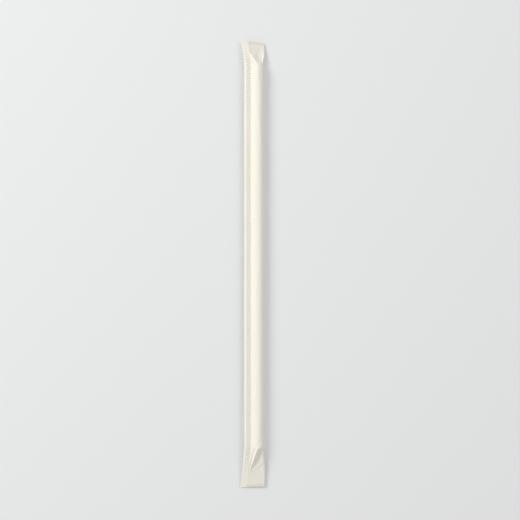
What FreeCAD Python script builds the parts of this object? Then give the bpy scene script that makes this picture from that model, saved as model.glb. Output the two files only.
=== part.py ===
"""A drinking straw sealed in its own paper sleeve, lying as it comes to rest.

X runs across the sleeve, with the crimped seam on the -X side. Y runs along it, from the foot end
to the head end, and Z is up. The origin is on the surface that it lies on, under the middle of its
box. Sizes are in millimetres and angles in degrees.
"""
import FreeCAD, Part
import math
import os
from collections import namedtuple

from FreeCAD import Vector

# The straw inside, which gives the sleeve its round form
STRAW_DIAMETER = 6.0
STRAW_LENGTH = 200.0

# The sleeve's paper, and how it closes round the straw
PAPER_GAUGE = 0.06
SEAM_GAP = 0.4
SEAM_WIDTH = 3.4
SEAM_MARGIN = 1.0
RIM_STEP = 0.06
FLAT_SPOT_WIDTH = 2.2

# The teeth that crimp the seam
TOOTH_PITCH = 1.3
TOOTH_DEPTH = 0.16
TOOTH_SLANT = 35.0
SEAM_OVERLAP = 0.4

# The empty sleeve past each end of the straw
HEAD_OVERHANG = 12.0
FOOT_OVERHANG = 21.0
END_THICKNESS = 0.3
CRIMP_THICKNESS = 0.18
CRIMP_BAND = 1.6
END_CLEARANCE = 0.5
HEAD_LIFT = 1.5
FOOT_LIFT = 0.8

# The form of the empty ends, as shares of the way from the straw's rim to the cut edge
FLATTENED_BY = 0.7
FLARED_BY = 0.5
TURNED_BY = 0.6
FLATTENING_ROWS = 5
CREASE_PEAK = 0.35

# Each line along which an end bends. It starts round the straw's rim, as a share of the paper from
# the seam. It heads for its pull and ends at its place in the flat paper, which are both shares of
# the width. It stands out of the smooth form on the upper and on the lower side, and is flat again
# by the share of the way out at which it fades.
Crease = namedtuple("Crease", "at_rim pull at_edge upper lower fade")
HEAD_CREASES = [
    Crease(0.00, 0.00, 0.00, 0.0, 0.0, 1.0),
    Crease(0.11, 0.01, 0.01, 0.1, 0.0, 0.9),
    Crease(0.22, 0.02, 0.02, 0.0, 0.1, 0.9),
    Crease(0.32, 0.03, 0.03, -0.1, 0.1, 0.9),
    Crease(0.39, 0.04, 0.04, 0.3, 0.0, 0.9),
    Crease(0.45, 0.05, 0.05, 1.0, 0.0, 0.9),
    Crease(0.52, 0.12, 0.09, 0.3, 0.1, 0.6),
    Crease(0.62, 0.32, 0.22, -0.3, 0.1, 0.6),
    Crease(0.74, 0.60, 0.48, -0.8, 0.0, 0.7),
    Crease(0.84, 0.86, 0.74, -0.6, -0.1, 0.8),
    Crease(0.92, 0.96, 0.90, 0.2, 0.1, 0.8),
    Crease(1.00, 1.00, 1.00, 0.0, 0.0, 1.0),
]
FOOT_CREASES = [
    Crease(0.00, 0.00, 0.00, 0.0, 0.0, 1.0),
    Crease(0.10, 0.02, 0.02, 0.1, 0.0, 0.8),
    Crease(0.20, 0.04, 0.04, 0.0, 0.1, 0.8),
    Crease(0.30, 0.05, 0.05, -0.3, 0.0, 0.8),
    Crease(0.37, 0.07, 0.07, -0.25, 0.1, 0.7),
    Crease(0.43, 0.12, 0.11, 1.0, 0.0, 0.7),
    Crease(0.50, 0.18, 0.13, 0.1, -0.1, 0.65),
    Crease(0.62, 0.42, 0.16, -0.7, 0.1, 0.62),
    Crease(0.78, 0.70, 0.20, -1.0, 0.2, 0.58),
    Crease(0.86, 0.86, 0.48, 0.1, 0.1, 0.55),
    Crease(0.93, 0.94, 0.75, 0.8, 0.0, 0.55),
    Crease(1.00, 1.00, 1.00, 0.0, 0.0, 1.0),
]

# What follows from them
ENVELOPE_RADIUS = STRAW_DIAMETER / 2 + PAPER_GAUGE
SEAM_THICKNESS = 2 * PAPER_GAUGE
FLAT_SPOT_HALF = FLAT_SPOT_WIDTH / 2
AXIS_HEIGHT = math.sqrt(ENVELOPE_RADIUS**2 - FLAT_SPOT_HALF**2)
ROOT_DISTANCE = ENVELOPE_RADIUS + SEAM_GAP
AXIS_X = (SEAM_WIDTH + SEAM_GAP) / 2
ROOT_X = AXIS_X - ROOT_DISTANCE
RIGHT_WALL_X = AXIS_X + ENVELOPE_RADIUS

# The empty pocket lies flat as wide as half the way round the straw and out to the seam
TANGENT_ANGLE = math.acos(ENVELOPE_RADIUS / ROOT_DISTANCE)
TANGENT_LENGTH = math.sqrt(ROOT_DISTANCE**2 - ENVELOPE_RADIUS**2)
POCKET_WIDTH = TANGENT_LENGTH + ENVELOPE_RADIUS * (math.pi - TANGENT_ANGLE)
FLAT_WIDTH = SEAM_WIDTH + POCKET_WIDTH

SLEEVE_LENGTH = FOOT_OVERHANG + STRAW_LENGTH + HEAD_OVERHANG
FOOT_EDGE_Y = -SLEEVE_LENGTH / 2
FOOT_RIM_Y = FOOT_EDGE_Y + FOOT_OVERHANG
HEAD_RIM_Y = FOOT_RIM_Y + STRAW_LENGTH
HEAD_EDGE_Y = SLEEVE_LENGTH / 2

# Each end dips from the straw's axis till it hangs just clear of the surface. The foot is lowest at
# the seam, and the head is lowest opposite it.
End = namedtuple("End", "rim_y edge_y seam_height far_height creases")
SEAM_REST = END_CLEARANCE + (SEAM_THICKNESS + TOOTH_DEPTH) / 2
FAR_REST = END_CLEARANCE + CRIMP_THICKNESS / 2
HEAD = End(HEAD_RIM_Y, HEAD_EDGE_Y, FAR_REST + HEAD_LIFT, FAR_REST, HEAD_CREASES)
FOOT = End(FOOT_RIM_Y, FOOT_EDGE_Y, SEAM_REST, SEAM_REST + FOOT_LIFT, FOOT_CREASES)


def between(start, finish, share):
    """The value that lies the given share of the way from start to finish."""
    return start + (finish - start) * share


def share_past_rim(end, y):
    """How far y is from the straw's rim to the cut edge of this end, from 0 to 1."""
    return max(0.0, (y - end.rim_y) / (end.edge_y - end.rim_y))


def end_at(y):
    """The end that y is nearer to."""
    return HEAD if y > (HEAD_RIM_Y + FOOT_RIM_Y) / 2 else FOOT


def seam_root_x(y):
    """Where the seam starts beside the pocket. It moves out as the pocket flattens."""
    flat_root_x = -FLAT_WIDTH / 2 + SEAM_WIDTH
    return between(ROOT_X, flat_root_x, share_past_rim(end_at(y), y))


def seam_height(y):
    """The height of the middle of the seam."""
    end = end_at(y)
    return between(AXIS_HEIGHT, end.seam_height, share_past_rim(end, y))


def straw_body():
    """The sleeve over the straw: round, drawn in to the seam, and flat where it rests."""
    half = SEAM_THICKNESS / 2
    # The paper leaves the round form at the angle where its line to the seam just touches it
    reach = math.hypot(ROOT_DISTANCE, half)
    leaves_at = math.acos(ENVELOPE_RADIUS / reach) + math.atan2(half, ROOT_DISTANCE)
    rise = ENVELOPE_RADIUS * math.sin(leaves_at)
    leave_x = AXIS_X - ENVELOPE_RADIUS * math.cos(leaves_at)

    def point(x, z):
        return Vector(x, FOOT_RIM_Y, z)

    root_top = point(ROOT_X, AXIS_HEIGHT + half)
    root_bottom = point(ROOT_X, AXIS_HEIGHT - half)
    leave_top = point(leave_x, AXIS_HEIGHT + rise)
    leave_bottom = point(leave_x, AXIS_HEIGHT - rise)
    far_side = point(RIGHT_WALL_X, AXIS_HEIGHT)
    spot_right = point(AXIS_X + FLAT_SPOT_HALF, 0)
    spot_left = point(AXIS_X - FLAT_SPOT_HALF, 0)
    diagonal = ENVELOPE_RADIUS / math.sqrt(2)
    upper_mid = point(AXIS_X, AXIS_HEIGHT + ENVELOPE_RADIUS)
    lower_right_mid = point(AXIS_X + diagonal, AXIS_HEIGHT - diagonal)
    lower_left_mid = point(AXIS_X - diagonal, AXIS_HEIGHT - diagonal)

    outline = Part.Wire([
        Part.LineSegment(root_bottom, root_top).toShape(),
        Part.LineSegment(root_top, leave_top).toShape(),
        Part.Arc(leave_top, upper_mid, far_side).toShape(),
        Part.Arc(far_side, lower_right_mid, spot_right).toShape(),
        Part.LineSegment(spot_right, spot_left).toShape(),
        Part.Arc(spot_left, lower_left_mid, leave_bottom).toShape(),
        Part.LineSegment(leave_bottom, root_bottom).toShape(),
    ])
    return Part.Face(outline).extrude(Vector(0, STRAW_LENGTH, 0))


def seam_sheet(heights, slant, slope):
    """A thin sheet through the given (y, z) points, drawn out to the -X side.

    It is drawn out along its own plane, which rises by the slope along Y, so that a slanted sheet
    stays in that plane.
    """
    half = SEAM_THICKNESS / 2
    upper = [Vector(AXIS_X, y, z + half) for y, z in heights]
    lower = [Vector(AXIS_X, y, z - half) for y, z in reversed(heights)]
    profile = Part.Face(Part.makePolygon(upper + lower + upper[:1]))
    reach = AXIS_X + FLAT_WIDTH
    drift = reach * math.tan(math.radians(slant))
    return profile.extrude(Vector(-reach, -drift, -drift * slope))


def seam_plan(y_from, y_to, inner, outer):
    """The upright block over a stretch of the seam, between two distances from its root."""
    half_height = 2 * STRAW_DIAMETER
    plan = [
        Vector(seam_root_x(y) - distance, y, -half_height)
        for y, distance in [(y_from, inner), (y_from, outer), (y_to, outer), (y_to, inner)]
    ]
    return Part.Face(Part.makePolygon(plan + plan[:1])).extrude(Vector(0, 0, 2 * half_height))


def seam_stretch(y_from, y_to):
    """A straight stretch of the seam: a band pressed into slanted teeth, and its plain margin."""
    slope = (seam_height(y_to) - seam_height(y_from)) / (y_to - y_from)
    steps = 2 * round(SLEEVE_LENGTH / TOOTH_PITCH)
    step_length = SLEEVE_LENGTH / steps
    # The teeth are counted from the foot's edge, and run on past the stretch before they are cut
    # to it, because their slant carries them along the seam
    spare = 2 * FLAT_WIDTH * math.tan(math.radians(TOOTH_SLANT))
    first = math.floor((y_from - spare - FOOT_EDGE_Y) / step_length)
    last = math.ceil((y_to + spare - FOOT_EDGE_Y) / step_length)
    toothed = []
    for step in range(first, last + 1):
        y = FOOT_EDGE_Y + step * step_length
        middle = seam_height(y_from) + slope * (y - y_from)
        toothed.append((y, middle + TOOTH_DEPTH / 2 * (-1) ** step))
    plain = [(y, seam_height(y)) for y in (y_from, y_to)]

    band_edge = SEAM_WIDTH - SEAM_MARGIN
    band = seam_plan(y_from, y_to, -SEAM_OVERLAP, band_edge)
    margin = seam_plan(y_from, y_to, band_edge, SEAM_WIDTH)
    return [
        seam_sheet(toothed, TOOTH_SLANT, slope).common(band),
        seam_sheet(plain, 0, slope).common(margin),
    ]


def crimped_seam():
    """The seam from cut edge to cut edge, which bends at the straw's two rims."""
    ys = [FOOT_EDGE_Y, FOOT_RIM_Y, HEAD_RIM_Y, HEAD_EDGE_Y]
    return [solid for y_from, y_to in zip(ys, ys[1:]) for solid in seam_stretch(y_from, y_to)]


def rim_offset(share):
    """Where the paper stands at the rim, from the seam's root: across it, and out from its middle.

    The share is of the pocket's width. The paper runs straight from the seam until it touches the
    straw, and then goes round it.
    """
    radius = ENVELOPE_RADIUS - RIM_STEP
    along = share * POCKET_WIDTH
    if along < TANGENT_LENGTH:
        return along * math.sin(TANGENT_ANGLE), along * math.cos(TANGENT_ANGLE)
    angle = TANGENT_ANGLE + (along - TANGENT_LENGTH) / ENVELOPE_RADIUS
    return ROOT_DISTANCE - radius * math.cos(angle), radius * math.sin(angle)


def width_share(crease, share):
    """A crease's place across the pocket, on a quadratic curve from the rim to the flat paper."""
    turned = min(1.0, share / TURNED_BY)
    across, _ = rim_offset(crease.at_rim)
    at_rim = across / (ROOT_DISTANCE + ENVELOPE_RADIUS)
    straight_on = 1 - turned
    return straight_on**2 * at_rim + 2 * turned * straight_on * crease.pull + turned**2 * crease.at_edge


def end_rows(end, share, thickness):
    """The points across an end's pocket, on its upper side and on its lower side.

    The form goes in step from the straw's round rim to flat, and each crease adds its own lift,
    which is greatest at CREASE_PEAK of the way to where the crease fades. The lower side gives way
    where a crease presses the upper one down to it.
    """
    y = between(end.rim_y, end.edge_y, share)
    flattened = min(1.0, share / FLATTENED_BY)
    roundness = (1 - flattened)**2 * (1 + flattened)
    flared = min(1.0, share / FLARED_BY)
    left = seam_root_x(y) + RIM_STEP * (1 - share)
    right = between(RIGHT_WALL_X - RIM_STEP, FLAT_WIDTH / 2, flared**2 * (3 - 2 * flared))
    upper = []
    lower = []
    for crease in end.creases:
        _, out = rim_offset(crease.at_rim)
        place = width_share(crease, share)
        middle = seam_height(y) + place * share * (end.far_height - end.seam_height)
        swollen = min(1.0, share / crease.fade) ** (math.log(0.5) / math.log(CREASE_PEAK))
        swell = math.sin(math.pi * swollen)
        half = thickness / 2
        top = middle + max(half, out * roundness) + crease.upper * swell
        resting_out = min(out, AXIS_HEIGHT - RIM_STEP)
        bottom = middle - max(half, resting_out * roundness) + crease.lower * swell
        x = between(left, right, place)
        upper.append(Vector(x, y, top))
        lower.append(Vector(x, y, min(bottom, top - thickness)))
    return upper, lower


def folded_end(end):
    """The empty pocket past one end of the straw, as flat facets between its creases."""
    crimp_starts = 1 - CRIMP_BAND / abs(end.edge_y - end.rim_y)
    rows = []
    for step in range(FLATTENING_ROWS + 1):
        flatness = step / FLATTENING_ROWS
        rows.append((FLATTENED_BY * flatness, between(PAPER_GAUGE, END_THICKNESS, flatness)))
    rows.append((between(FLATTENED_BY, crimp_starts, 0.5), END_THICKNESS))
    rows.append((crimp_starts, CRIMP_THICKNESS))
    rows.append((1.0, CRIMP_THICKNESS))
    sides = [end_rows(end, share, thickness) for share, thickness in rows]
    return closed_solid([upper for upper, lower in sides], [lower for upper, lower in sides])


def closed_solid(upper, lower):
    """The solid between two grids of points, whose rows and columns match."""
    faces = []

    def triangle(a, b, c):
        faces.append(Part.Face(Part.makePolygon([a, b, c, a])))

    def quad(a, b, c, d):
        triangle(a, b, c)
        triangle(a, c, d)

    last_row = len(upper) - 1
    last_column = len(upper[0]) - 1
    for grid in (upper, lower):
        for i in range(last_row):
            for j in range(last_column):
                quad(grid[i][j], grid[i][j + 1], grid[i + 1][j + 1], grid[i + 1][j])
    for j in (0, last_column):
        for i in range(last_row):
            quad(upper[i][j], upper[i + 1][j], lower[i + 1][j], lower[i][j])
    for i in (0, last_row):
        for j in range(last_column):
            quad(upper[i][j], upper[i][j + 1], lower[i][j + 1], lower[i][j])
    solid = Part.makeSolid(Part.makeShell(faces))
    if solid.Volume < 0:
        solid.reverse()
    return solid


def wrapped_straw():
    """The sleeve with the straw sealed in it, as one solid."""
    return straw_body().fuse([folded_end(HEAD), folded_end(FOOT)] + crimped_seam())


os.makedirs("parts", exist_ok=True)
straw = wrapped_straw()
straw.exportStep("parts/wrapped_straw.step")
print("solids", len(straw.Solids), "valid", straw.isValid(), "volume mm3", round(straw.Volume, 1))
print("box", straw.BoundBox)
print("radius", ENVELOPE_RADIUS, "flat width", round(FLAT_WIDTH, 3), "faces", len(straw.Faces))
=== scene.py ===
"""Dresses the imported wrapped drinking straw: its paper sleeve, its crimped seam and a plain studio.

X runs across the sleeve, with the seam on the -X side. Y runs along it, from the foot end to the
head end, and Z is up. The classes hold their sizes in millimetres, and meshes are made in metres.
"""
import logging
import math
from dataclasses import dataclass, field
from enum import Enum

import bpy
import numpy as np
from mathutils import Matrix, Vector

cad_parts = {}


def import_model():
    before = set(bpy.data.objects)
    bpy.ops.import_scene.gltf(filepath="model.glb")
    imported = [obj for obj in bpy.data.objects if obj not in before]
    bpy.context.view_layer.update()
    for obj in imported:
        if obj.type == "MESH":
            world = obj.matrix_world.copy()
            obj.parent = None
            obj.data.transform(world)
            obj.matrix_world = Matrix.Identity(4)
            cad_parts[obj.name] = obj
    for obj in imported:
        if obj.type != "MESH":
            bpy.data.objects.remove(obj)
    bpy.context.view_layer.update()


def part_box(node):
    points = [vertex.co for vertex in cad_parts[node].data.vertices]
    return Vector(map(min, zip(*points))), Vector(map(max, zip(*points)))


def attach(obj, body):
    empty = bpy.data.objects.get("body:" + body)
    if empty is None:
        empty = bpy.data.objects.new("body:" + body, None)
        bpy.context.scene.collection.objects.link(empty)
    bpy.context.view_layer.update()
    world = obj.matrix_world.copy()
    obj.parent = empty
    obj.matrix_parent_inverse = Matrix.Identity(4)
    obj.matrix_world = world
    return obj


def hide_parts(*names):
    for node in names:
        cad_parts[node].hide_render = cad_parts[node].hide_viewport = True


Array = np.ndarray
Pair = tuple[float, float]
Triple = tuple[float, float, float]
Socket = bpy.types.NodeSocket

LOG = logging.getLogger("wrapped_straw")

MM = 0.001
CAD_NODE = "wrapped_straw"
CAD_BODY = "root"
IMAGE_SIDE = 520
FOLD_SEED = 31
# Share of its half length over which a small fold rises from its tip.
FOLD_TIP = 0.625
# Least length and least squared distance that are divided by.
SMALLEST = 1e-9
LEAST_SPREAD = 1e-3
# Half the least gap between the seam's two layers, in mm.
SKIN_GAP = 0.001
FLECK_COLOR = (1.0, 0.995, 0.97, 1.0)
# Colour of the painted highlight on the folds' ridges.
RIDGE_HIGHLIGHT_COLOR = (0.93, 0.925, 0.89, 1.0)
# Colour of the painted shade in the folds' valleys.
VALLEY_SHADE_COLOR = (0.62, 0.6, 0.53, 1.0)
WHITE = (1.0, 1.0, 1.0, 1.0)


class Layer(Enum):
    """The two layers of paper, above and below the straw."""

    UPPER = 1
    LOWER = -1


# Numbers.


def mix(start: Array | float, finish: Array | float, share: Array | float) -> Array:
    """Goes straight from start, where share is 0, to finish, where it is 1.

    Args:
        start: Value at share 0.
        finish: Value at share 1.
        share: Place between the two.

    Returns:
        The value at that place.
    """
    return start + (finish - start) * share


def ease(share: Array) -> Array:
    """Eases a share in and out: three times its square less twice its cube.

    Args:
        share: Any numbers; they are held between 0 and 1.

    Returns:
        The eased shares.
    """
    held = np.clip(share, 0.0, 1.0)
    return held * held * (3.0 - 2.0 * held)


def eased_between(value: Array, start: float, finish: float) -> Array:
    """Eases from 0 where the value is at or below start, to 1 where it is at or above finish."""
    return ease((value - start) / (finish - start))


def blunt_wave(phase: Array, sharpness: float = 0.9) -> Array:
    """A wave between a sine and a zigzag: the arc sine of a sine that falls short of 1.

    Args:
        phase: Turns of the wave.
        sharpness: 0 is a sine and 1 is a zigzag.

    Returns:
        Heights from -1 to 1.
    """
    return np.arcsin(sharpness * np.sin(2.0 * np.pi * phase)) / math.asin(sharpness)


@dataclass(frozen=True)
class Wave:
    """A sine along the sleeve: its height, the length of one radian of it, and its start."""

    height: float
    radian: float
    start: float = 0.0

    def at(self, y: Array) -> Array:
        """The wave's value at each Y."""
        return self.height * np.sin(y / self.radian + self.start)


# Folds in the paper.


@dataclass(frozen=True)
class Crease:
    """A line along which an empty end bends, on its curve from the straw's rim to the flat paper.

    at_rim is its place round the straw, as a share of the paper from the seam. pull and at_edge are
    shares of the width: where the curve heads at first, and where it ends. upper and lower are how
    far it stands out of the smooth form, and by the share fade of the way out it is flat again.
    """

    at_rim: float
    pull: float
    at_edge: float
    upper: float
    lower: float
    fade: float


@dataclass(frozen=True)
class Fold:
    """A small straight fold, shaped like a roof that falls away to its sides and to its ends.

    across and along are its middle, as the distance from the seam over the paper and as Y. angle is
    its turn from the sleeve's length in degrees, and a height below 0 makes it a valley.
    """

    across: float
    along: float
    angle: float
    length: float
    width: float
    height: float

    def rise(self, across: Array, along: Array, blunt: float) -> Array:
        """The fold's height times what is left of the way to its side, and eased in from its tips.

        Args:
            across: Distance from the seam over the paper.
            along: Y.
            blunt: Radius that rounds the ridge.

        Returns:
            How far the fold lifts the paper at each place.
        """
        turn = math.radians(self.angle)
        aside = (across - self.across) * math.cos(turn) - (along - self.along) * math.sin(turn)
        ahead = (across - self.across) * math.sin(turn) + (along - self.along) * math.cos(turn)
        to_side = 1.0 - (np.sqrt(aside**2 + blunt**2) - blunt) / self.width
        to_end = 1.0 - np.abs(ahead) / (self.length / 2.0)
        return self.height * np.clip(to_side, 0.0, 1.0) * eased_between(to_end, 0.0, FOLD_TIP)


@dataclass(frozen=True)
class FoldRange:
    """What a scatter of small folds is drawn from: each pair is the least and the most."""

    count: int
    across: Pair
    along: Pair
    angle: Pair
    length: Pair
    width: Pair
    height: Pair

    def draw(self, dice: np.random.Generator) -> list[Fold]:
        """Draws the folds.

        Args:
            dice: Seeded source of the draws.

        Returns:
            The folds, each with its own place, turn and size.
        """
        spans = [self.across, self.along, self.angle, self.length, self.width, self.height]
        least, most = np.array(spans).T
        shares = dice.random((self.count, len(spans)))
        return [Fold(*row) for row in mix(least, most, shares)]


HEAD_CREASES = tuple(Crease(*row) for row in (
    (0.00, 0.00, 0.00, 0.0, 0.0, 1.0),
    (0.11, 0.01, 0.01, 0.1, 0.0, 0.9),
    (0.22, 0.02, 0.02, 0.0, 0.1, 0.9),
    (0.32, 0.03, 0.03, -0.1, 0.1, 0.9),
    (0.39, 0.04, 0.04, 0.3, 0.0, 0.9),
    (0.45, 0.05, 0.05, 1.0, 0.0, 0.9),
    (0.52, 0.12, 0.09, 0.3, 0.1, 0.6),
    (0.62, 0.32, 0.22, -0.3, 0.1, 0.6),
    (0.74, 0.60, 0.48, -0.8, 0.0, 0.7),
    (0.84, 0.86, 0.74, -0.6, -0.1, 0.8),
    (0.92, 0.96, 0.90, 0.2, 0.1, 0.8),
    (1.00, 1.00, 1.00, 0.0, 0.0, 1.0),
))
FOOT_CREASES = tuple(Crease(*row) for row in (
    (0.00, 0.00, 0.00, 0.0, 0.0, 1.0),
    (0.10, 0.02, 0.02, 0.1, 0.0, 0.8),
    (0.20, 0.04, 0.04, -0.35, 0.0, 0.8),
    (0.30, 0.055, 0.05, -0.75, 0.0, 0.8),
    (0.37, 0.08, 0.07, -0.7, 0.0, 0.7),
    (0.43, 0.12, 0.11, 1.0, 0.0, 0.7),
    (0.50, 0.18, 0.13, 0.1, -0.1, 0.65),
    (0.62, 0.42, 0.16, -0.7, 0.1, 0.62),
    (0.78, 0.70, 0.20, -1.0, 0.2, 0.58),
    (0.86, 0.86, 0.48, 0.1, 0.1, 0.55),
    (0.93, 0.94, 0.75, 0.8, 0.0, 0.55),
    (1.00, 1.00, 1.00, 0.0, 0.0, 1.0),
))


@dataclass
class SleeveForm:
    """The sleeve's sizes, and where its paper lies over the straw and in its empty ends."""

    foot_edge_y: float
    head_edge_y: float
    flat_width: float
    straw_diameter: float = 6.0
    straw_length: float = 200.0
    head_overhang: float = 12.0
    paper_gauge: float = 0.06
    seam_gap: float = 0.4
    seam_width: float = 3.4
    flat_spot_width: float = 2.2
    seam_rest: float = 0.64
    far_rest: float = 0.59
    head_lift: float = 1.5
    foot_lift: float = 0.8
    flattened_by: float = 0.7
    flared_by: float = 0.5
    turned_by: float = 0.6
    crease_peak: float = 0.35
    fold_blunt: float = 0.12
    facet_bulge: float = 0.05
    end_puff: float = 0.06
    ridge_spill: float = 0.16
    spill_reach: float = 2.4
    rim_lip: float = 0.05
    lip_reach: float = 0.35
    small_fold_blunt: float = 0.18
    small_folds_fade_from: float = 0.375
    full_puff: float = 0.5
    flat_paper_share: float = 0.25
    under_smooth_from: float = 0.75
    floor_gap: float = 0.003
    radius: float = field(init=False)
    axis_z: float = field(init=False)
    axis_x: float = field(init=False)
    root_distance: float = field(init=False)
    tangent_angle: float = field(init=False)
    tangent_length: float = field(init=False)
    pocket_width: float = field(init=False)
    foot_rim_y: float = field(init=False)
    head_rim_y: float = field(init=False)
    folds: dict[Layer, list[Fold]] = field(init=False)

    def __post_init__(self) -> None:
        """Works out what follows from the sizes."""
        self.radius = self.straw_diameter / 2.0 + self.paper_gauge
        self.axis_z = math.sqrt(self.radius**2 - (self.flat_spot_width / 2.0) ** 2)
        self.axis_x = (self.seam_width + self.seam_gap) / 2.0
        self.root_distance = self.radius + self.seam_gap
        self.tangent_angle = math.acos(self.radius / self.root_distance)
        self.tangent_length = math.sqrt(self.root_distance**2 - self.radius**2)
        self.pocket_width = self.tangent_length + self.radius * (math.pi - self.tangent_angle)
        self.head_rim_y = self.head_edge_y - self.head_overhang
        self.foot_rim_y = self.head_rim_y - self.straw_length
        dice = np.random.default_rng(FOLD_SEED)
        self.folds = {
            layer: [fold for part in self.fold_ranges() for fold in part.draw(dice)]
            for layer in Layer
        }

    def fold_ranges(self) -> list[FoldRange]:
        """What one layer's small folds are drawn from, in the order in which they are drawn.

        Returns:
            The gathers past the foot's rim and the head's, the folds of the foot's flat paper and
            the head's, and then the puckers beside the foot's rim, beside the head's, and along and
            across the straw.
        """
        far = self.pocket_width
        foot, head = self.foot_rim_y, self.head_rim_y
        return [
            FoldRange(
                count=16, across=(0.4, far), along=(foot - 11.0, foot - 1.0), angle=(-38.0, 8.0),
                length=(3.0, 9.0), width=(0.4, 1.0), height=(-0.2, 0.24),
            ),
            FoldRange(
                count=12, across=(0.4, far), along=(head + 0.8, head + 8.0), angle=(-8.0, 42.0),
                length=(2.5, 7.0), width=(0.4, 0.9), height=(-0.2, 0.24),
            ),
            FoldRange(
                count=9, across=(1.5, far), along=(foot - 18.0, foot - 9.0), angle=(-75.0, 60.0),
                length=(4.0, 10.0), width=(0.5, 1.5), height=(-0.3, 0.3),
            ),
            FoldRange(
                count=5, across=(1.5, far), along=(head + 6.0, head + 10.5), angle=(-75.0, 75.0),
                length=(3.0, 8.0), width=(0.5, 1.3), height=(-0.22, 0.24),
            ),
            FoldRange(
                count=9, across=(1.0, far), along=(foot, foot + 6.0), angle=(-32.0, 32.0),
                length=(5.0, 12.0), width=(0.6, 1.3), height=(0.05, 0.13),
            ),
            FoldRange(
                count=9, across=(1.0, far), along=(head - 6.0, head), angle=(-32.0, 32.0),
                length=(5.0, 12.0), width=(0.6, 1.3), height=(0.05, 0.13),
            ),
            FoldRange(
                count=44, across=(0.6, far), along=(foot + 6.0, head - 6.0), angle=(-8.0, 8.0),
                length=(14.0, 50.0), width=(0.8, 2.2), height=(0.02, 0.08),
            ),
            FoldRange(
                count=26, across=(0.6, far), along=(foot + 6.0, head - 6.0), angle=(-50.0, 50.0),
                length=(4.0, 12.0), width=(0.7, 1.6), height=(0.02, 0.07),
            ),
        ]

    def ends_reached(self, y: Array) -> Array:
        """How far each Y is on its way from the nearer rim to the cut edge.

        Args:
            y: Places along the sleeve.

        Returns:
            0 beside the straw, and up to 1 at either cut edge.
        """
        at_head = (y - self.head_rim_y) / (self.head_edge_y - self.head_rim_y)
        at_foot = (self.foot_rim_y - y) / (self.foot_rim_y - self.foot_edge_y)
        return np.clip(np.maximum(at_head, at_foot), 0.0, 1.0)

    def headwards(self, y: Array) -> Array:
        """0 in the foot end, 1 in the head end, and eased between them beside the straw."""
        return ease((y - self.foot_rim_y) / (self.head_rim_y - self.foot_rim_y))

    def of_creases(self, name: str, place: Array, y: Array) -> Array:
        """Reads one value of the creases, straight from each crease to the next.

        Args:
            name: The value's name in Crease.
            place: Number of the crease, with fractions between two creases.
            y: Places along the sleeve, which choose between the foot's creases and the head's.

        Returns:
            The value at each place.
        """
        numbers = np.arange(len(HEAD_CREASES))
        foot = np.interp(place, numbers, [getattr(crease, name) for crease in FOOT_CREASES])
        head = np.interp(place, numbers, [getattr(crease, name) for crease in HEAD_CREASES])
        return mix(foot, head, self.headwards(y))

    def crease_height(self, name: str, place: Array, y: Array) -> Array:
        """The creases' height, rounded by averaging it with its two near neighbours."""
        steps = (-self.fold_blunt, 0.0, self.fold_blunt)
        before, here, after = (self.of_creases(name, place + step, y) for step in steps)
        return 0.25 * before + 0.5 * here + 0.25 * after

    def over_straw(self, along: Array) -> tuple[Array, Array]:
        """Follows the paper from the seam: a straight run to the straw, then its circle.

        Args:
            along: Distance from the seam over the paper.

        Returns:
            Distance across from the seam, and height above or below the straw's axis.
        """
        angle = self.tangent_angle + (along - self.tangent_length) / self.radius
        straight = along < self.tangent_length
        across = np.where(
            straight,
            along * math.sin(self.tangent_angle),
            self.root_distance - self.radius * np.cos(angle),
        )
        out = np.where(straight, along * math.cos(self.tangent_angle), self.radius * np.sin(angle))
        return across, np.maximum(out, 0.0)

    def seam_root(self, y: Array) -> tuple[Array, Array]:
        """Where the seam meets the pocket.

        Args:
            y: Places along the sleeve.

        Returns:
            X and Z of the seam's root, which goes straight from its place beside the straw to its
            place at the cut edge.
        """
        share = self.ends_reached(y)
        flat_x = -self.flat_width / 2.0 + self.seam_width
        end_z = mix(self.seam_rest, self.far_rest + self.head_lift, self.headwards(y))
        return mix(self.axis_x - self.root_distance, flat_x, share), mix(self.axis_z, end_z, share)

    def roundness(self, y: Array) -> Array:
        """1 beside the straw, and past its rim what is left of the way to flat, squared, times one
        and that way."""
        gone = np.minimum(1.0, self.ends_reached(y) / self.flattened_by)
        return (1.0 - gone) ** 2 * (1.0 + gone)

    def swell(self, place: Array, y: Array) -> Array:
        """How much of the creases' height shows: half a sine from the rim to where each fades."""
        share = np.minimum(1.0, self.ends_reached(y) / self.of_creases("fade", place, y))
        return np.sin(np.pi * share ** (math.log(0.5) / math.log(self.crease_peak)))

    def width_share(self, place: Array, y: Array) -> Array:
        """Each column's place across the pocket: a quadratic curve from its place at the rim, by
        way of its pull, to its place in the flat paper.

        Args:
            place: Number of the crease, with fractions.
            y: Places along the sleeve.

        Returns:
            Shares of the way from the seam's root to the far side.
        """
        turned = np.minimum(1.0, self.ends_reached(y) / self.turned_by)
        across, _ = self.over_straw(self.pocket_width * self.of_creases("at_rim", place, y))
        at_rim = across / (self.root_distance + self.radius)
        pull, at_edge = self.of_creases("pull", place, y), self.of_creases("at_edge", place, y)
        left = 1.0 - turned
        return left**2 * at_rim + 2.0 * turned * left * pull + turned**2 * at_edge

    def near_rim(self, y: Array, reach: float) -> Array:
        """A bell along the sleeve that is 1 at a rim and falls off over the reach."""
        nearest = np.minimum(np.abs(y - self.foot_rim_y), np.abs(y - self.head_rim_y))
        return np.exp(-((nearest / reach) ** 2))

    def paper_distance(self, place: Array, y: Array) -> Array:
        """Distance from the seam over the paper, in mm."""
        share = np.minimum(1.0, self.ends_reached(y) / self.turned_by)
        beside = self.of_creases("at_rim", place, y)
        return self.pocket_width * mix(beside, self.width_share(place, y), share)

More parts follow.
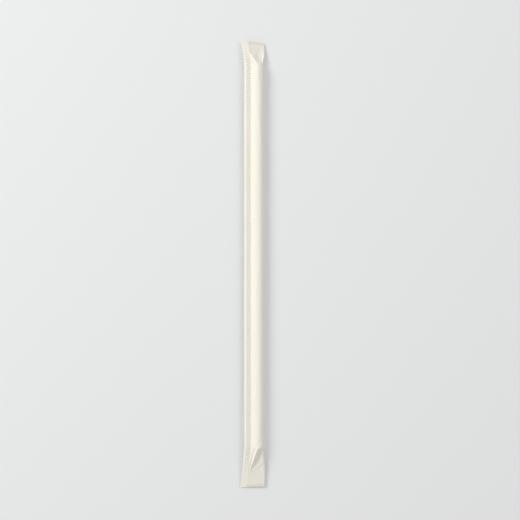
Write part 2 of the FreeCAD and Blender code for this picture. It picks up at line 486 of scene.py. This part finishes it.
    def surface(self, place: Array, y: Array, layer: Layer) -> Array:
        """Where one layer of the pocket lies.

        Its section goes from the straw's outline at the rim to a flat strip at the cut edge. The
        creases and the small folds lift it, and the lower layer stays under the upper one.

        Args:
            place: Number of the crease, with fractions, for each column.
            y: Y of each row.
            layer: Which layer.

        Returns:
            Points as rows by columns by three.
        """
        rows = y[:, None]
        share, roundness = self.ends_reached(rows), self.roundness(rows)
        _, out = self.over_straw(self.pocket_width * self.of_creases("at_rim", place, rows))
        root_x, root_z = self.seam_root(rows)
        flared = ease(share / self.flared_by)
        right = mix(self.axis_x + self.radius, self.flat_width / 2.0, flared)
        width_share = self.width_share(place, rows)
        x = mix(root_x, right, width_share)
        tilt = mix(self.foot_lift, -self.head_lift, self.headwards(rows))
        middle = root_z + width_share * share * tilt
        half = self.paper_gauge + self.end_puff * np.sin(np.pi * share)
        bulge = self.facet_bulge * np.sin(np.pi * (place % 1.0)) ** 2
        spill = self.ridge_spill * self.near_rim(rows, self.spill_reach)
        lip = self.rim_lip * self.near_rim(rows, self.lip_reach)
        puff = np.hypot(out * roundness, half)
        swell = self.swell(place, rows)
        upper_height = self.crease_height("upper", place, rows)
        top = middle + puff + upper_height * swell + bulge * swell
        top = top + (np.maximum(upper_height, 0.0) * spill + lip) * np.minimum(1.0, out)
        shown = np.minimum(1.0, puff / self.full_puff + self.flat_paper_share)
        top = top + self.small_rise(place, rows, Layer.UPPER) * shown
        if layer is Layer.UPPER:
            z = top
        else:
            drop = np.minimum(puff, self.axis_z)
            z = middle - drop + self.crease_height("lower", place, rows) * swell
            shown = np.minimum(1.0, drop / self.full_puff)
            resting = eased_between(drop / self.axis_z, self.under_smooth_from, 1.0)
            z = z - self.small_rise(place, rows, Layer.LOWER) * shown * (1.0 - resting)
            z = np.maximum(np.minimum(z, top - 2.0 * half), self.floor_gap)
        return np.stack([x + 0.0 * z, rows + 0.0 * z, z], axis=-1)

    def small_rise(self, place: Array, rows: Array, layer: Layer) -> Array:
        """Sums what the small folds of one layer lift, fading to nothing at the cut edges."""
        distance = self.paper_distance(place, rows)
        total = np.zeros(distance.shape)
        for fold in self.folds[layer]:
            total += fold.rise(distance, rows, self.small_fold_blunt)
        gone = eased_between(self.ends_reached(rows), self.small_folds_fade_from, 1.0)
        return total * (1.0 - gone)


# Meshes.


def new_object(name: str, data: bpy.types.ID) -> bpy.types.Object:
    """Makes an object of a mesh, a lamp or a camera, and puts it into the scene."""
    thing = bpy.data.objects.new(name, data)
    bpy.context.scene.collection.objects.link(thing)
    return thing


def new_mesh(name: str, points: Array, sharp_above: float) -> bpy.types.Object:
    """Makes a closed skin from rings of points, one ring a row, and caps its first and last ring.

    Args:
        name: The piece's name.
        points: Rings by points by three, in mm.
        sharp_above: Angle between two faces above which their edge is sharp, in degrees.

    Returns:
        The new object, at the origin, in metres.
    """
    rings, around = points.shape[:2]
    row = np.arange(rings - 1)[:, None] * around
    start = np.arange(around)[None, :]
    after = (start + 1) % around
    above = row + around
    quads = np.stack([row + start, row + after, above + after, above + start], axis=-1)
    quads = quads.reshape(-1, 4)
    first, last = np.arange(around)[::-1], np.arange(around) + (rings - 1) * around
    flat = points.reshape(-1, 3)
    corner = flat[quads]
    volume = np.einsum("ij,ij->i", corner[:, 0], np.cross(corner[:, 1], corner[:, 2]))
    volume = volume + np.einsum("ij,ij->i", corner[:, 0], np.cross(corner[:, 2], corner[:, 3]))
    if volume.sum() < 0.0:
        quads, first, last = quads[:, ::-1], first[::-1], last[::-1]
    mesh = bpy.data.meshes.new(name)
    mesh.from_pydata((flat * MM).tolist(), [], quads.tolist() + [first.tolist(), last.tolist()])
    mesh.shade_smooth()
    mesh.set_sharp_from_angle(angle=math.radians(sharp_above))
    return new_object(name, mesh)


def write_attribute(piece: bpy.types.Object, name: str, values: Array) -> None:
    """Stores one number for each point.

    Args:
        piece: The piece.
        name: The attribute's name.
        values: One number for each point, as the points lie in their rings.
    """
    attribute = piece.data.attributes.new(name, "FLOAT", "POINT")
    attribute.data.foreach_set("value", values.astype(np.float32).ravel())


def fold_sharpness(points: Array) -> Array:
    """How sharply the skin bends at each point: its offset from the mean of its neighbours, along
    the skin's normal, over the square of their distance. A ridge is above 0 and a valley below.

    Args:
        points: Rings by points by three, in mm.

    Returns:
        One number for each point.
    """
    ahead, behind = np.roll(points, -1, axis=1), np.roll(points, 1, axis=1)
    around = ahead - behind
    along = np.gradient(points, axis=0)
    normal = np.cross(along, around)
    normal /= np.maximum(np.linalg.norm(normal, axis=-1, keepdims=True), SMALLEST)
    offset = points - (ahead + behind) / 2.0
    spread = np.maximum((around**2).sum(axis=-1) / 4.0, LEAST_SPREAD)
    return (offset * normal).sum(axis=-1) / spread


# Node tools.


class NodeSheet:
    """Lays out the nodes of one material or group."""

    def __init__(self, tree: bpy.types.NodeTree) -> None:
        """Takes a tree to fill."""
        self.tree = tree

    @classmethod
    def fresh(cls, owner: bpy.types.Material | bpy.types.World) -> "NodeSheet":
        """Empties the node tree of a material or world, and takes it to fill."""
        owner.use_nodes = True
        owner.node_tree.nodes.clear()
        return cls(owner.node_tree)

    def add(self, kind: str, settings: dict | None = None, **inputs: object) -> bpy.types.Node:
        """Adds a node.

        Args:
            kind: Blender's name of the node type.
            settings: Values of the node's own properties.
            **inputs: Values or sockets for its inputs, named as they are with _ for a space.

        Returns:
            The new node.
        """
        node = self.tree.nodes.new(kind)
        for name, value in (settings or {}).items():
            setattr(node, name, value)
        for name, value in inputs.items():
            self.feed(node.inputs[name.replace("_", " ")], value)
        return node

    def feed(self, socket: Socket, value: object) -> None:
        """Links a socket to an input, or sets its value."""
        if isinstance(value, Socket):
            self.tree.links.new(value, socket)
        else:
            socket.default_value = value

    def math(self, operation: str, *values: object, clamp: bool = False) -> Socket:
        """Adds a Math node and gives its result."""
        node = self.add("ShaderNodeMath", {"operation": operation, "use_clamp": clamp})
        for socket, value in zip(node.inputs, values):
            self.feed(socket, value)
        return node.outputs[0]

    def blend(self, share: object, first: object, second: object) -> Socket:
        """Adds a colour mix and gives its result."""
        node = self.add("ShaderNodeMix", {"data_type": "RGBA"})
        for number, value in ((0, share), (6, first), (7, second)):
            self.feed(node.inputs[number], value)
        return node.outputs[2]

    def ramp(self, value: object, low: float, high: float, to_low: float, to_high: float) -> Socket:
        """Adds a Map Range from low..high to to_low..to_high and gives its result."""
        node = self.add("ShaderNodeMapRange")
        for number, given in enumerate((value, low, high, to_low, to_high)):
            self.feed(node.inputs[number], given)
        return node.outputs[0]

    def noise(self, stretch: Triple, scale: object, detail: float, turn: float = 0.0) -> Socket:
        """Adds a noise on Object coordinates.

        Args:
            stretch: Scale of the coordinates on each axis.
            scale: The noise's scale, per metre.
            detail: The noise's detail.
            turn: Turn of the coordinates about Z, in degrees.

        Returns:
            The noise, about 0.5 on average.
        """
        place = self.add("ShaderNodeTexCoord").outputs["Object"]
        rotation = (0.0, 0.0, math.radians(turn))
        placed = self.add("ShaderNodeMapping", Vector=place, Rotation=rotation, Scale=stretch)
        vector = placed.outputs[0]
        return self.add("ShaderNodeTexNoise", Vector=vector, Scale=scale, Detail=detail).outputs[0]


def new_group(
    name: str, inputs: dict[str, tuple[str, object]], outputs: dict[str, str]
) -> tuple[NodeSheet, bpy.types.Node, bpy.types.Node]:
    """Starts a shader node group.

    Args:
        name: The group's name.
        inputs: For each input its socket type and its default.
        outputs: For each output its socket type.

    Returns:
        Its sheet, its input node and its output node.
    """
    tree = bpy.data.node_groups.new(name, "ShaderNodeTree")
    for label, (kind, default) in inputs.items():
        tree.interface.new_socket(label, in_out="INPUT", socket_type=kind).default_value = default
    for label, kind in outputs.items():
        tree.interface.new_socket(label, in_out="OUTPUT", socket_type=kind)
    sheet = NodeSheet(tree)
    return sheet, sheet.add("NodeGroupInput"), sheet.add("NodeGroupOutput")


VALUE = "NodeSocketFloat"
COLOUR = "NodeSocketColor"


class PaperGroups:
    """The node groups that every paper finish uses."""

    def __init__(self) -> None:
        """Builds the groups once."""
        self.grain = self.build_grain()
        self.tone = self.build_tone()

    @staticmethod
    def build_grain() -> bpy.types.NodeTree:
        """The paper's surface: fibres both ways, cloudy formation, and streaks along the web.

        Returns:
            A group that puts out a Height, a Cloud mask and a Fleck mask.
        """
        sheet, given, result = new_group(
            "paper_grain",
            {"Fibre Scale": (VALUE, 5200.0), "Cloud Scale": (VALUE, 420.0)},
            {"Height": VALUE, "Cloud": VALUE, "Fleck": VALUE},
        )
        scale = given.outputs["Fibre Scale"]
        lengthwise = sheet.noise((1.0, 0.16, 1.0), scale, 2.0)
        slanted = sheet.noise((1.0, 0.2, 1.0), scale, 2.0, turn=58.0)
        leaning = sheet.noise((1.0, 0.2, 1.0), scale, 2.0, turn=-41.0)
        fibres = sheet.math("MAXIMUM", sheet.math("MAXIMUM", lengthwise, slanted), leaning)
        streaks = sheet.noise((1.0, 0.03, 1.0), 1900.0, 3.0)
        cloud = sheet.noise((1.0, 0.7, 1.0), given.outputs["Cloud Scale"], 4.0)
        height = sheet.math("MULTIPLY_ADD", streaks, 0.5, fibres)
        sheet.feed(result.inputs["Height"], sheet.math("MULTIPLY_ADD", cloud, 0.6, height))
        mottle = sheet.math("MULTIPLY", cloud, 0.65)
        sheet.feed(result.inputs["Cloud"], sheet.math("MULTIPLY_ADD", streaks, 0.35, mottle))
        sheet.feed(result.inputs["Fleck"], sheet.ramp(fibres, 0.56, 0.78, 0.0, 1.0))
        return sheet.tree

    @staticmethod
    def build_tone() -> bpy.types.NodeTree:
        """Colours the paper: bright where it is backed, shifted by cloud and flecks, and greyed where
        pressed, a grey that also paints shade in dents. Fold ridges get a painted highlight and fold
        valleys painted shade.

        Returns:
            A group that puts out a Color.
        """
        sheet, given, result = new_group(
            "paper_tone",
            {
                "Backed Color": (COLOUR, WHITE),
                "Bare Color": (COLOUR, WHITE),
                "Pressed Color": (COLOUR, WHITE),
                "Backed": (VALUE, 1.0),
                "Pressed": (VALUE, 0.0),
                "Fold": (VALUE, 0.0),
                "Cloud": (VALUE, 0.5),
                "Fleck": (VALUE, 0.0),
            },
            {"Color": COLOUR},
        )
        read = given.outputs
        drift = sheet.ramp(read["Cloud"], 0.35, 0.65, -0.16, 0.16)
        clouded = sheet.math("ADD", read["Backed"], drift, clamp=True)
        paper = sheet.blend(clouded, read["Bare Color"], read["Backed Color"])
        # Pressed-paper grey, which also paints shade in the dents and beside the seam's root.
        paper = sheet.blend(read["Pressed"], paper, read["Pressed Color"])
        paper = sheet.blend(sheet.math("MULTIPLY", read["Fleck"], 0.1), paper, FLECK_COLOR)
        # Painted highlight: the folds' sharp ridges are lightened.
        painted_light_share = sheet.ramp(read["Fold"], 0.6, 4.0, 0.0, 0.45)
        paper = sheet.blend(painted_light_share, paper, RIDGE_HIGHLIGHT_COLOR)
        # Painted shade: the folds' valleys are darkened.
        valley_shade = sheet.ramp(read["Fold"], -0.8, -5.0, 0.0, 0.3)
        sheet.feed(result.inputs["Color"], sheet.blend(valley_shade, paper, VALLEY_SHADE_COLOR))
        return sheet.tree


def linear(red: int, green: int, blue: int) -> tuple[float, float, float, float]:
    """Turns a colour as a screen shows it, from 0 to 255, into the linear one that shaders use."""
    shares = [level / 255.0 for level in (red, green, blue)]
    return (*[s / 12.92 if s <= 0.04045 else ((s + 0.055) / 1.055) ** 2.4 for s in shares], 1.0)


@dataclass(frozen=True)
class PaperFinish:
    """A matte paper finish: its colours, how rough it is and how deep its grain is, in mm."""

    name: str
    backed: tuple[int, int, int] = (247, 243, 230)
    bare: tuple[int, int, int] = (242, 238, 226)
    # Grey of pressed paper, which also stands for painted shade in the dents and beside the seam.
    pressed: tuple[int, int, int] = (212, 208, 195)
    roughness: Pair = (0.68, 0.86)
    pressed_roughness: float = 0.5
    grain_depth: float = 0.012

    def material(self, groups: PaperGroups) -> bpy.types.Material:
        """Builds the material.

        Args:
            groups: The shared node groups.

        Returns:
            The material, which reads the attributes backed, pressed and fold.
        """
        material = bpy.data.materials.new(self.name)
        sheet = NodeSheet.fresh(material)
        read = {
            name: sheet.add("ShaderNodeAttribute", {"attribute_name": name}).outputs["Fac"]
            for name in ("backed", "pressed", "fold")
        }
        grain = sheet.add("ShaderNodeGroup", {"node_tree": groups.grain})
        tone = sheet.add(
            "ShaderNodeGroup",
            {"node_tree": groups.tone},
            Backed_Color=linear(*self.backed),
            Bare_Color=linear(*self.bare),
            Pressed_Color=linear(*self.pressed),
            Backed=read["backed"],
            Pressed=read["pressed"],
            Fold=read["fold"],
            Cloud=grain.outputs["Cloud"],
            Fleck=grain.outputs["Fleck"],
        )
        rough = sheet.ramp(grain.outputs["Cloud"], 0.3, 0.7, *self.roughness)
        smoother = self.pressed_roughness - self.roughness[1]
        rough = sheet.math("ADD", rough, sheet.math("MULTIPLY", read["pressed"], smoother))
        bump = sheet.add(
            "ShaderNodeBump",
            Height=grain.outputs["Height"],
            Distance=self.grain_depth * MM,
            Strength=1.0,
        )
        shader = sheet.add(
            "ShaderNodeBsdfPrincipled",
            Base_Color=tone.outputs["Color"],
            Roughness=rough,
            Normal=bump.outputs["Normal"],
            IOR=1.45,
            Specular_IOR_Level=0.35,
        )
        sheet.add("ShaderNodeOutputMaterial", Surface=shader.outputs[0])
        return material


# The sleeve's pieces.


def dress(piece: bpy.types.Object, material: bpy.types.Material) -> bpy.types.Object:
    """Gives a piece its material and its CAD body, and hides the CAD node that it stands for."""
    piece.data.materials.append(material)
    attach(piece, CAD_BODY)
    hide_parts(CAD_NODE)
    return piece


@dataclass
class Pocket:
    """The paper round the straw, with its two empty ends, as one closed skin."""

    form: SleeveForm
    column_pitch: float = 0.17
    end_pitch: float = 0.2
    rim_pitch: float = 0.25
    body_pitch: float = 0.9
    rim_zone: float = 5.0
    crimp_band: float = 1.9
    crimp_pitch: float = 1.3
    crimp_depth: float = 0.13
    crimp_shares: Pair = (0.55, 0.45)
    crimp_start: float = 0.8
    crimp_contrast: float = 0.6
    crimp_shade: float = 0.65
    backed_fade: float = 14.0

    def places(self) -> Array:
        """Column places: each strip between two creases gets columns for its widest end."""
        strips = []
        for number in range(len(HEAD_CREASES) - 1):
            widest = max(
                getattr(ends[number + 1], where) - getattr(ends[number], where)
                for ends in (HEAD_CREASES, FOOT_CREASES)
                for where in ("at_rim", "pull", "at_edge")
            )
            count = math.ceil(widest * self.form.pocket_width / self.column_pitch)
            strips.append(number + np.arange(count) / count)
        return np.concatenate(strips + [np.array([len(HEAD_CREASES) - 1.0])])

    def rows(self) -> Array:
        """Row places: fine in the ends, less so near the rims, and coarse along the straw."""
        form = self.form
        stops = [
            (form.foot_edge_y, self.end_pitch),
            (form.foot_rim_y, self.rim_pitch),
            (form.foot_rim_y + self.rim_zone, self.body_pitch),
            (form.head_rim_y - self.rim_zone, self.rim_pitch),
            (form.head_rim_y, self.end_pitch),
            (form.head_edge_y, 0.0),
        ]
        runs = [
            np.linspace(start, finish, round((finish - start) / pitch), endpoint=False)
            for (start, pitch), (finish, _) in zip(stops, stops[1:])
        ]
        return np.concatenate(runs + [np.array([form.head_edge_y])])

    def crimped(self, points: Array) -> tuple[Array, Array]:
        """Presses the cut edges: a lattice of dents over both layers alike, which fades out over
        the last third of the band.

        Args:
            points: Rings by points by three, in mm.

        Returns:
            How far each point is lifted, and from 0 to 1 how much pressed-paper grey it gets, deepest
            in the dents, where it also paints their shade.
        """
        form, x, y = self.form, points[..., 0], points[..., 1]
        inside = np.minimum(form.head_edge_y - y, y - form.foot_edge_y)
        within = 1.0 - eased_between(inside, self.crimp_band * 2.0 / 3.0, self.crimp_band)
        across, inwards = self.crimp_shares
        waves = across * blunt_wave(x / self.crimp_pitch)
        waves = waves + inwards * blunt_wave(inside / self.crimp_pitch - self.crimp_start)
        lift = self.crimp_depth / 2.0 * (waves + 1.0) * within
        # Grey of the pressed paper, darkest in the dents: partly real, partly painted shade.
        return lift, self.crimp_shade * within * ease(0.5 - self.crimp_contrast * waves)

    def build(self, material: bpy.types.Material) -> bpy.types.Object:
        """Builds the pocket.

        Args:
            material: Its finish.

        Returns:
            The piece.
        """
        places, rows = self.places(), self.rows()
        upper = self.form.surface(places, rows, Layer.UPPER)
        lower = self.form.surface(places, rows, Layer.LOWER)[:, ::-1]
        points = np.concatenate([upper, lower], axis=1)
        lift, pressed = self.crimped(points)
        points[..., 2] += lift
        piece = new_mesh("sleeve_pocket", points, sharp_above=55.0)
        share = self.form.ends_reached(points[..., 1])
        write_attribute(piece, "backed", 1.0 - ease(share * self.backed_fade))
        write_attribute(piece, "pressed", pressed)
        # The fold value lightens ridges as a painted highlight and darkens valleys as painted shade.
        own_bend = 1.0 / self.form.radius * (share == 0.0)
        write_attribute(piece, "fold", fold_sharpness(points) - own_bend)
        return dress(piece, material)


@dataclass
class CrimpedSeam:
    """The seam beside the straw: both layers pressed together, with a plain margin outside."""

    form: SleeveForm
    margin: float = 1.0
    tooth_pitch: float = 1.3
    tooth_depth: float = 0.22
    tooth_slant: float = 24.0
    tooth_wander: Wave = Wave(0.05, 23.0, 0.6)
    mean_depth: float = 0.82
    depth_waves: tuple[Wave, Wave] = (Wave(0.18, 9.0), Wave(1.0, 31.0, 1.0))
    lead_wave: Wave = Wave(0.32, 13.0, 0.8)
    rows_per_tooth: int = 8
    root_columns: int = 5
    band_columns: int = 16
    margin_columns: int = 4
    root_ramp: float = 0.22
    band_ramp: float = 0.25
    thinner: float = 0.25
    sag: float = 0.5
    sag_fade: float = 1.8
    sheet_waves: tuple[Wave, ...] = (Wave(0.13, 7.3, 1.1), Wave(0.08, 3.7, 2.3), Wave(0.1, 19.0))
    margin_gape: float = 0.16
    gape_power: float = 1.5
    mean_gape: float = 0.6
    gape_waves: tuple[Wave, Wave] = (Wave(0.4, 11.0), Wave(1.0, 4.3, 2.0))
    gape_end_loss: float = 0.75
    least_layer: float = 0.02
    # Fade over the ends and contrast of the dents' grey, which is partly pressed paper and partly
    # painted shade; then the painted shade beside the root.
    dent_end_fade: float = 0.72
    dent_fade_span: Pair = (0.125, 0.75)
    dent_contrast: float = 0.7
    root_shade: float = 0.15
    root_backed: float = 0.8
    gap_backed: float = 0.25
    root_start: float = 0.08
    root_reach: float = 0.75
    slope_step: float = 0.05
    root_stand: float = 0.008
    root_pucker: float = 0.022
    root_sink: float = 0.04
    root_end_loss: float = 0.8

    def knurl(self, out: Array, y: Array) -> Array:
        """The teeth: two crossing waves that lean either way, and in turn are the deeper one.

        Args:
            out: Distance from the seam's root towards its free edge.
            y: Places along the sleeve.

        Returns:
            Heights from -1 to 1.
        """
        lean = math.tan(math.radians(self.tooth_slant))
        wander = self.tooth_wander.at(y)
        rising = blunt_wave((y + wander + out * lean) / self.tooth_pitch)
        falling = blunt_wave((y + wander - out * lean) / self.tooth_pitch)
        depth = self.mean_depth + self.depth_waves[0].at(y) * self.depth_waves[1].at(y)
        lead = 0.5 + self.lead_wave.at(y)
        return depth * (lead * rising + (1.0 - lead) * falling)

    def sheet_wave(self, out: Array, y: Array) -> Array:
        """How far the seam as a whole sags and waves, growing with the square of the way out."""
        reach = (np.maximum(out, 0.0) / self.form.seam_width) ** 2
        waves = sum(wave.at(y) for wave in self.sheet_waves)
        flat = ease(self.form.ends_reached(y) * self.sag_fade)
        return reach * (waves - self.sag) * (1.0 - flat)

    def section(self, out: Array, y: Array) -> tuple[Array, Array]:
        """Middle height of the seam, and how much of the teeth shows there."""
        _, root_z = self.form.seam_root(y)
        band = self.form.seam_width - self.margin
        shows = ease(out / self.root_ramp + 0.5)
        shows = shows * (1.0 - ease((out - band) / self.band_ramp + 0.5))
        teeth = self.tooth_depth / 2.0 * self.knurl(out, y) * shows
        return root_z + teeth + self.sheet_wave(out, y), shows

    def build(self, material: bpy.types.Material) -> bpy.types.Object:
        """Builds the seam.

        Each ring starts under the pocket's upper layer, comes out at the root, crosses the band and
        the margin to the free edge, goes back between the two layers to where they part, out again,
        and home under the lower layer.

        Args:
            material: Its finish.

        Returns:
            The piece.
        """
        form = self.form
        teeth_count = round((form.head_edge_y - form.foot_edge_y) / self.tooth_pitch)
        count = teeth_count * self.rows_per_tooth
        y = np.linspace(form.foot_edge_y, form.head_edge_y, count + 1)
        rows = y[:, None]
        band_edge = form.seam_width - self.margin
        out = np.concatenate([
            np.linspace(0.0, band_edge, self.band_columns, endpoint=False),
            np.linspace(band_edge, form.seam_width, self.margin_columns + 1),
        ])[None, :]
        root_x, _ = form.seam_root(rows)
        middle, shows = self.section(out, rows)
        teeth = self.knurl(out, rows)
        half = form.paper_gauge * (1.0 - self.thinner * shows * (0.5 - 0.5 * teeth))
        wave = self.mean_gape + self.gape_waves[0].at(rows) * self.gape_waves[1].at(rows)
        gape = np.clip((out - band_edge) / self.margin, 0.0, 1.0) ** self.gape_power
        gape = gape * self.margin_gape * wave
        gape = gape * (1.0 - self.gape_end_loss * form.ends_reached(rows))
        x = root_x - out + 0.0 * middle
        across = rows + 0.0 * middle
        paper = form.paper_gauge

        def layer_points(height: Array) -> Array:
            """Puts a height beside the seam's X and Y."""
            return np.stack([x, across, height], axis=-1)

        outer_up = middle + half + gape
        inner_up = middle + np.maximum(half + gape - paper, SKIN_GAP)
        outer_low = np.maximum(middle - half, 0.0)
        inner_low = middle - np.maximum(half - paper, 0.0) - SKIN_GAP
        inner_low = np.maximum(inner_low, outer_low + self.least_layer)
        back = slice(None, self.band_columns - 1, -1)
        ring = [
            self.root_strip(y, Layer.UPPER),
            layer_points(outer_up),
            layer_points(inner_up)[:, back],
            layer_points(inner_low)[:, back][:, ::-1],
            layer_points(outer_low)[:, ::-1],
            self.root_strip(y, Layer.LOWER)[:, ::-1],
        ]
        points = np.concatenate(ring, axis=1)
        piece = new_mesh("crimped_seam", points, sharp_above=60.0)
        # The dents' grey, partly pressed paper and partly painted shade, fades over the empty ends.
        painted_light_share = 1.0 - self.dent_end_fade * eased_between(form.ends_reached(rows), *self.dent_fade_span)
        dent_grey_and_shade = shows * painted_light_share * ease(0.5 - self.dent_contrast * teeth)
        roots = np.zeros((len(y), self.root_columns))
        inner = np.zeros((len(y), out.shape[1] - self.band_columns))
        shaded = roots + self.root_shade
        # The pressed value holds painted shade beside the root and, in the band, pressed-paper grey
        # that also paints shade in the dents.
        pressed = [shaded, dent_grey_and_shade, inner, inner, dent_grey_and_shade[:, ::-1], shaded]
        write_attribute(piece, "pressed", np.concatenate(pressed, axis=1))
        lit = roots + self.root_backed
        gaps = self.gap_backed * (1.0 - shows) + 0.0 * dent_grey_and_shade
        backed = [lit, gaps, inner, inner, 0.0 * dent_grey_and_shade, lit]
        write_attribute(piece, "backed", np.concatenate(backed, axis=1))
        write_attribute(piece, "fold", np.zeros(points.shape[:2]))
        return dress(piece, material)

    def root_strip(self, y: Array, layer: Layer) -> Array:
        """Puckers the pocket's paper beside the seam.

        It follows the pocket's surface from inside it to the root, and stands off it by the teeth's
        wave, which fades from the root inwards until the strip is under the pocket.

        Args:
            y: Y of each row.
            layer: Which layer of the pocket.

        Returns:
            Points from the innermost column to the one beside the root.
        """
        place = np.linspace(self.root_reach, self.root_start, self.root_columns)
        base = self.form.surface(place, y, layer)
        inward = self.form.surface(place + self.slope_step, y, layer) - base
        normal = np.stack([-inward[..., 2], 0.0 * inward[..., 1], inward[..., 0]], axis=-1)
        normal /= np.maximum(np.linalg.norm(normal, axis=-1, keepdims=True), SMALLEST)
        near = 1.0 - (place - place[-1]) / (place[0] - place[-1])
        wave = self.knurl(np.zeros(1), y[:, None])
        stand = near * (self.root_stand + self.root_pucker * wave) - self.root_sink * (1.0 - near)
        stand = stand * (1.0 - self.root_end_loss * self.form.ends_reached(y[:, None]))
        points = base + normal * (layer.value * stand)[..., None]
        points[..., 2] = np.maximum(points[..., 2], 0.0)
        return points


# The studio.


@dataclass(frozen=True)
class FloorFinish:
    """A plain pale floor, and the same tone for what is seen past it."""

    name: str = "floor_plain"
    tone: tuple[int, int, int] = (243, 244, 245)

    def material(self) -> bpy.types.Material:
        """Builds the floor's material: a rough, even paint."""
        material = bpy.data.materials.new(self.name)
        sheet = NodeSheet.fresh(material)
        shader = sheet.add(
            "ShaderNodeBsdfPrincipled",
            Base_Color=linear(*self.tone),
            Roughness=0.9,
            Specular_IOR_Level=0.1,
        )
        sheet.add("ShaderNodeOutputMaterial", Surface=shader.outputs[0])
        return material


@dataclass(frozen=True)
class Lamp:
    """An area lamp that looks at the sleeve, with its place in metres and its power in watts."""

    name: str
    place: Triple
    side: float
    watts: float
    tint: Triple

    def build(self) -> None:
        """Puts the lamp into the scene."""
        light = bpy.data.lights.new(self.name, "AREA")
        light.shape = "SQUARE"
        light.size, light.energy, light.color = self.side, self.watts, self.tint
        lamp = new_object(self.name, light)
        x, y, z = self.place
        lamp.location = self.place
        lamp.rotation_euler = (math.atan2(math.hypot(x, y), z), 0.0, math.atan2(x, -y))


@dataclass
class Studio:
    """Floor, light and camera."""

    floor_side: float = 12.0
    world_strength: float = 0.52
    distance: float = 0.6
    tip: float = 20.0
    sleeve_pixels: float = 444.0
    middle_pixel: Pair = (251.7, 264.4)
    lamps: tuple[Lamp, ...] = (
        Lamp("key_left", (-1.1, 0.6, 0.78), 0.5, 10.9, (1.0, 0.995, 0.98)),
        Lamp("fill_right", (0.9, 0.3, 1.3), 1.2, 3.5, (1.0, 1.0, 1.0)),
    )

    def build(self, sleeve_length: float) -> None:
        """Builds all of it.

        Args:
            sleeve_length: Length of the sleeve in metres, which sets the camera's lens.
        """
        self.build_floor()
        self.build_world()
        for lamp in self.lamps:
            lamp.build()
        self.build_camera(sleeve_length)
        bpy.context.scene.view_settings.view_transform = "Standard"

    def build_floor(self) -> None:
        """Lays a plain square floor at height 0."""
        half = self.floor_side / 2.0
        mesh = bpy.data.meshes.new("floor")
        corners = [(-half, -half, 0.0), (half, -half, 0.0), (half, half, 0.0), (-half, half, 0.0)]
        mesh.from_pydata(corners, [], [(0, 1, 2, 3)])
        mesh.materials.append(FloorFinish().material())
        new_object("floor", mesh)

    def build_world(self) -> None:
        """Lights the scene evenly, and shows the floor's tone to the camera, gloss and glass."""
        world = bpy.data.worlds.new("studio")
        sheet = NodeSheet.fresh(world)
        rays = sheet.add("ShaderNodeLightPath").outputs
        seen = sheet.math("ADD", rays["Is Camera Ray"], rays["Is Glossy Ray"])
        seen = sheet.math("ADD", seen, rays["Is Transmission Ray"], clamp=True)
        light = sheet.add("ShaderNodeBackground", Color=WHITE, Strength=self.world_strength)
        shown = sheet.add("ShaderNodeBackground", Color=linear(*FloorFinish().tone), Strength=1.0)
        both = sheet.add("ShaderNodeMixShader", Fac=seen)
        sheet.feed(both.inputs[1], light.outputs[0])
        sheet.feed(both.inputs[2], shown.outputs[0])
        sheet.add("ShaderNodeOutputWorld", Surface=both.outputs[0])
        bpy.context.scene.world = world

    def build_camera(self, sleeve_length: float) -> None:
        """Looks down on the sleeve, tipped towards its seam, with the head end up.

        The lens follows from the sleeve's length in pixels. The camera is moved aside in its own
        plane, so that the sleeve's middle comes to its pixel.

        Args:
            sleeve_length: Length of the sleeve in metres.
        """
        data = bpy.data.cameras.new("camera")
        seen_height = sleeve_length * IMAGE_SIDE / self.sleeve_pixels
        data.lens = data.sensor_width * self.distance / seen_height
        camera = new_object("camera", data)
        metres = seen_height / IMAGE_SIDE
        aside = (IMAGE_SIDE / 2.0 - self.middle_pixel[0]) * metres
        upward = (self.middle_pixel[1] - IMAGE_SIDE / 2.0) * metres
        tip = math.radians(self.tip)
        camera.location = (
            -self.distance * math.sin(tip) + aside * math.cos(tip),
            upward,
            self.distance * math.cos(tip) + aside * math.sin(tip),
        )
        camera.rotation_euler = (0.0, -tip, 0.0)
        bpy.context.scene.camera = camera


# The whole scene.


def main() -> None:
    """Loads the frame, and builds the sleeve's pieces and the studio."""
    logging.basicConfig(level=logging.INFO, format="%(name)s: %(message)s")
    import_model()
    low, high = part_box(CAD_NODE)
    form = SleeveForm(low.y / MM, high.y / MM, (high.x - low.x) / MM)
    groups = PaperGroups()
    pocket_paper = PaperFinish("sleeve_paper").material(groups)
    seam_paper = PaperFinish(
        "crimped_paper", backed=(251, 248, 235), bare=(254, 250, 238), pressed=(213, 209, 195)
    ).material(groups)
    for piece in (Pocket(form).build(pocket_paper), CrimpedSeam(form).build(seam_paper)):
        LOG.info("%s: %d faces", piece.name, len(piece.data.polygons))
    Studio().build(high.y - low.y)


if __name__ == "__main__":
    main()
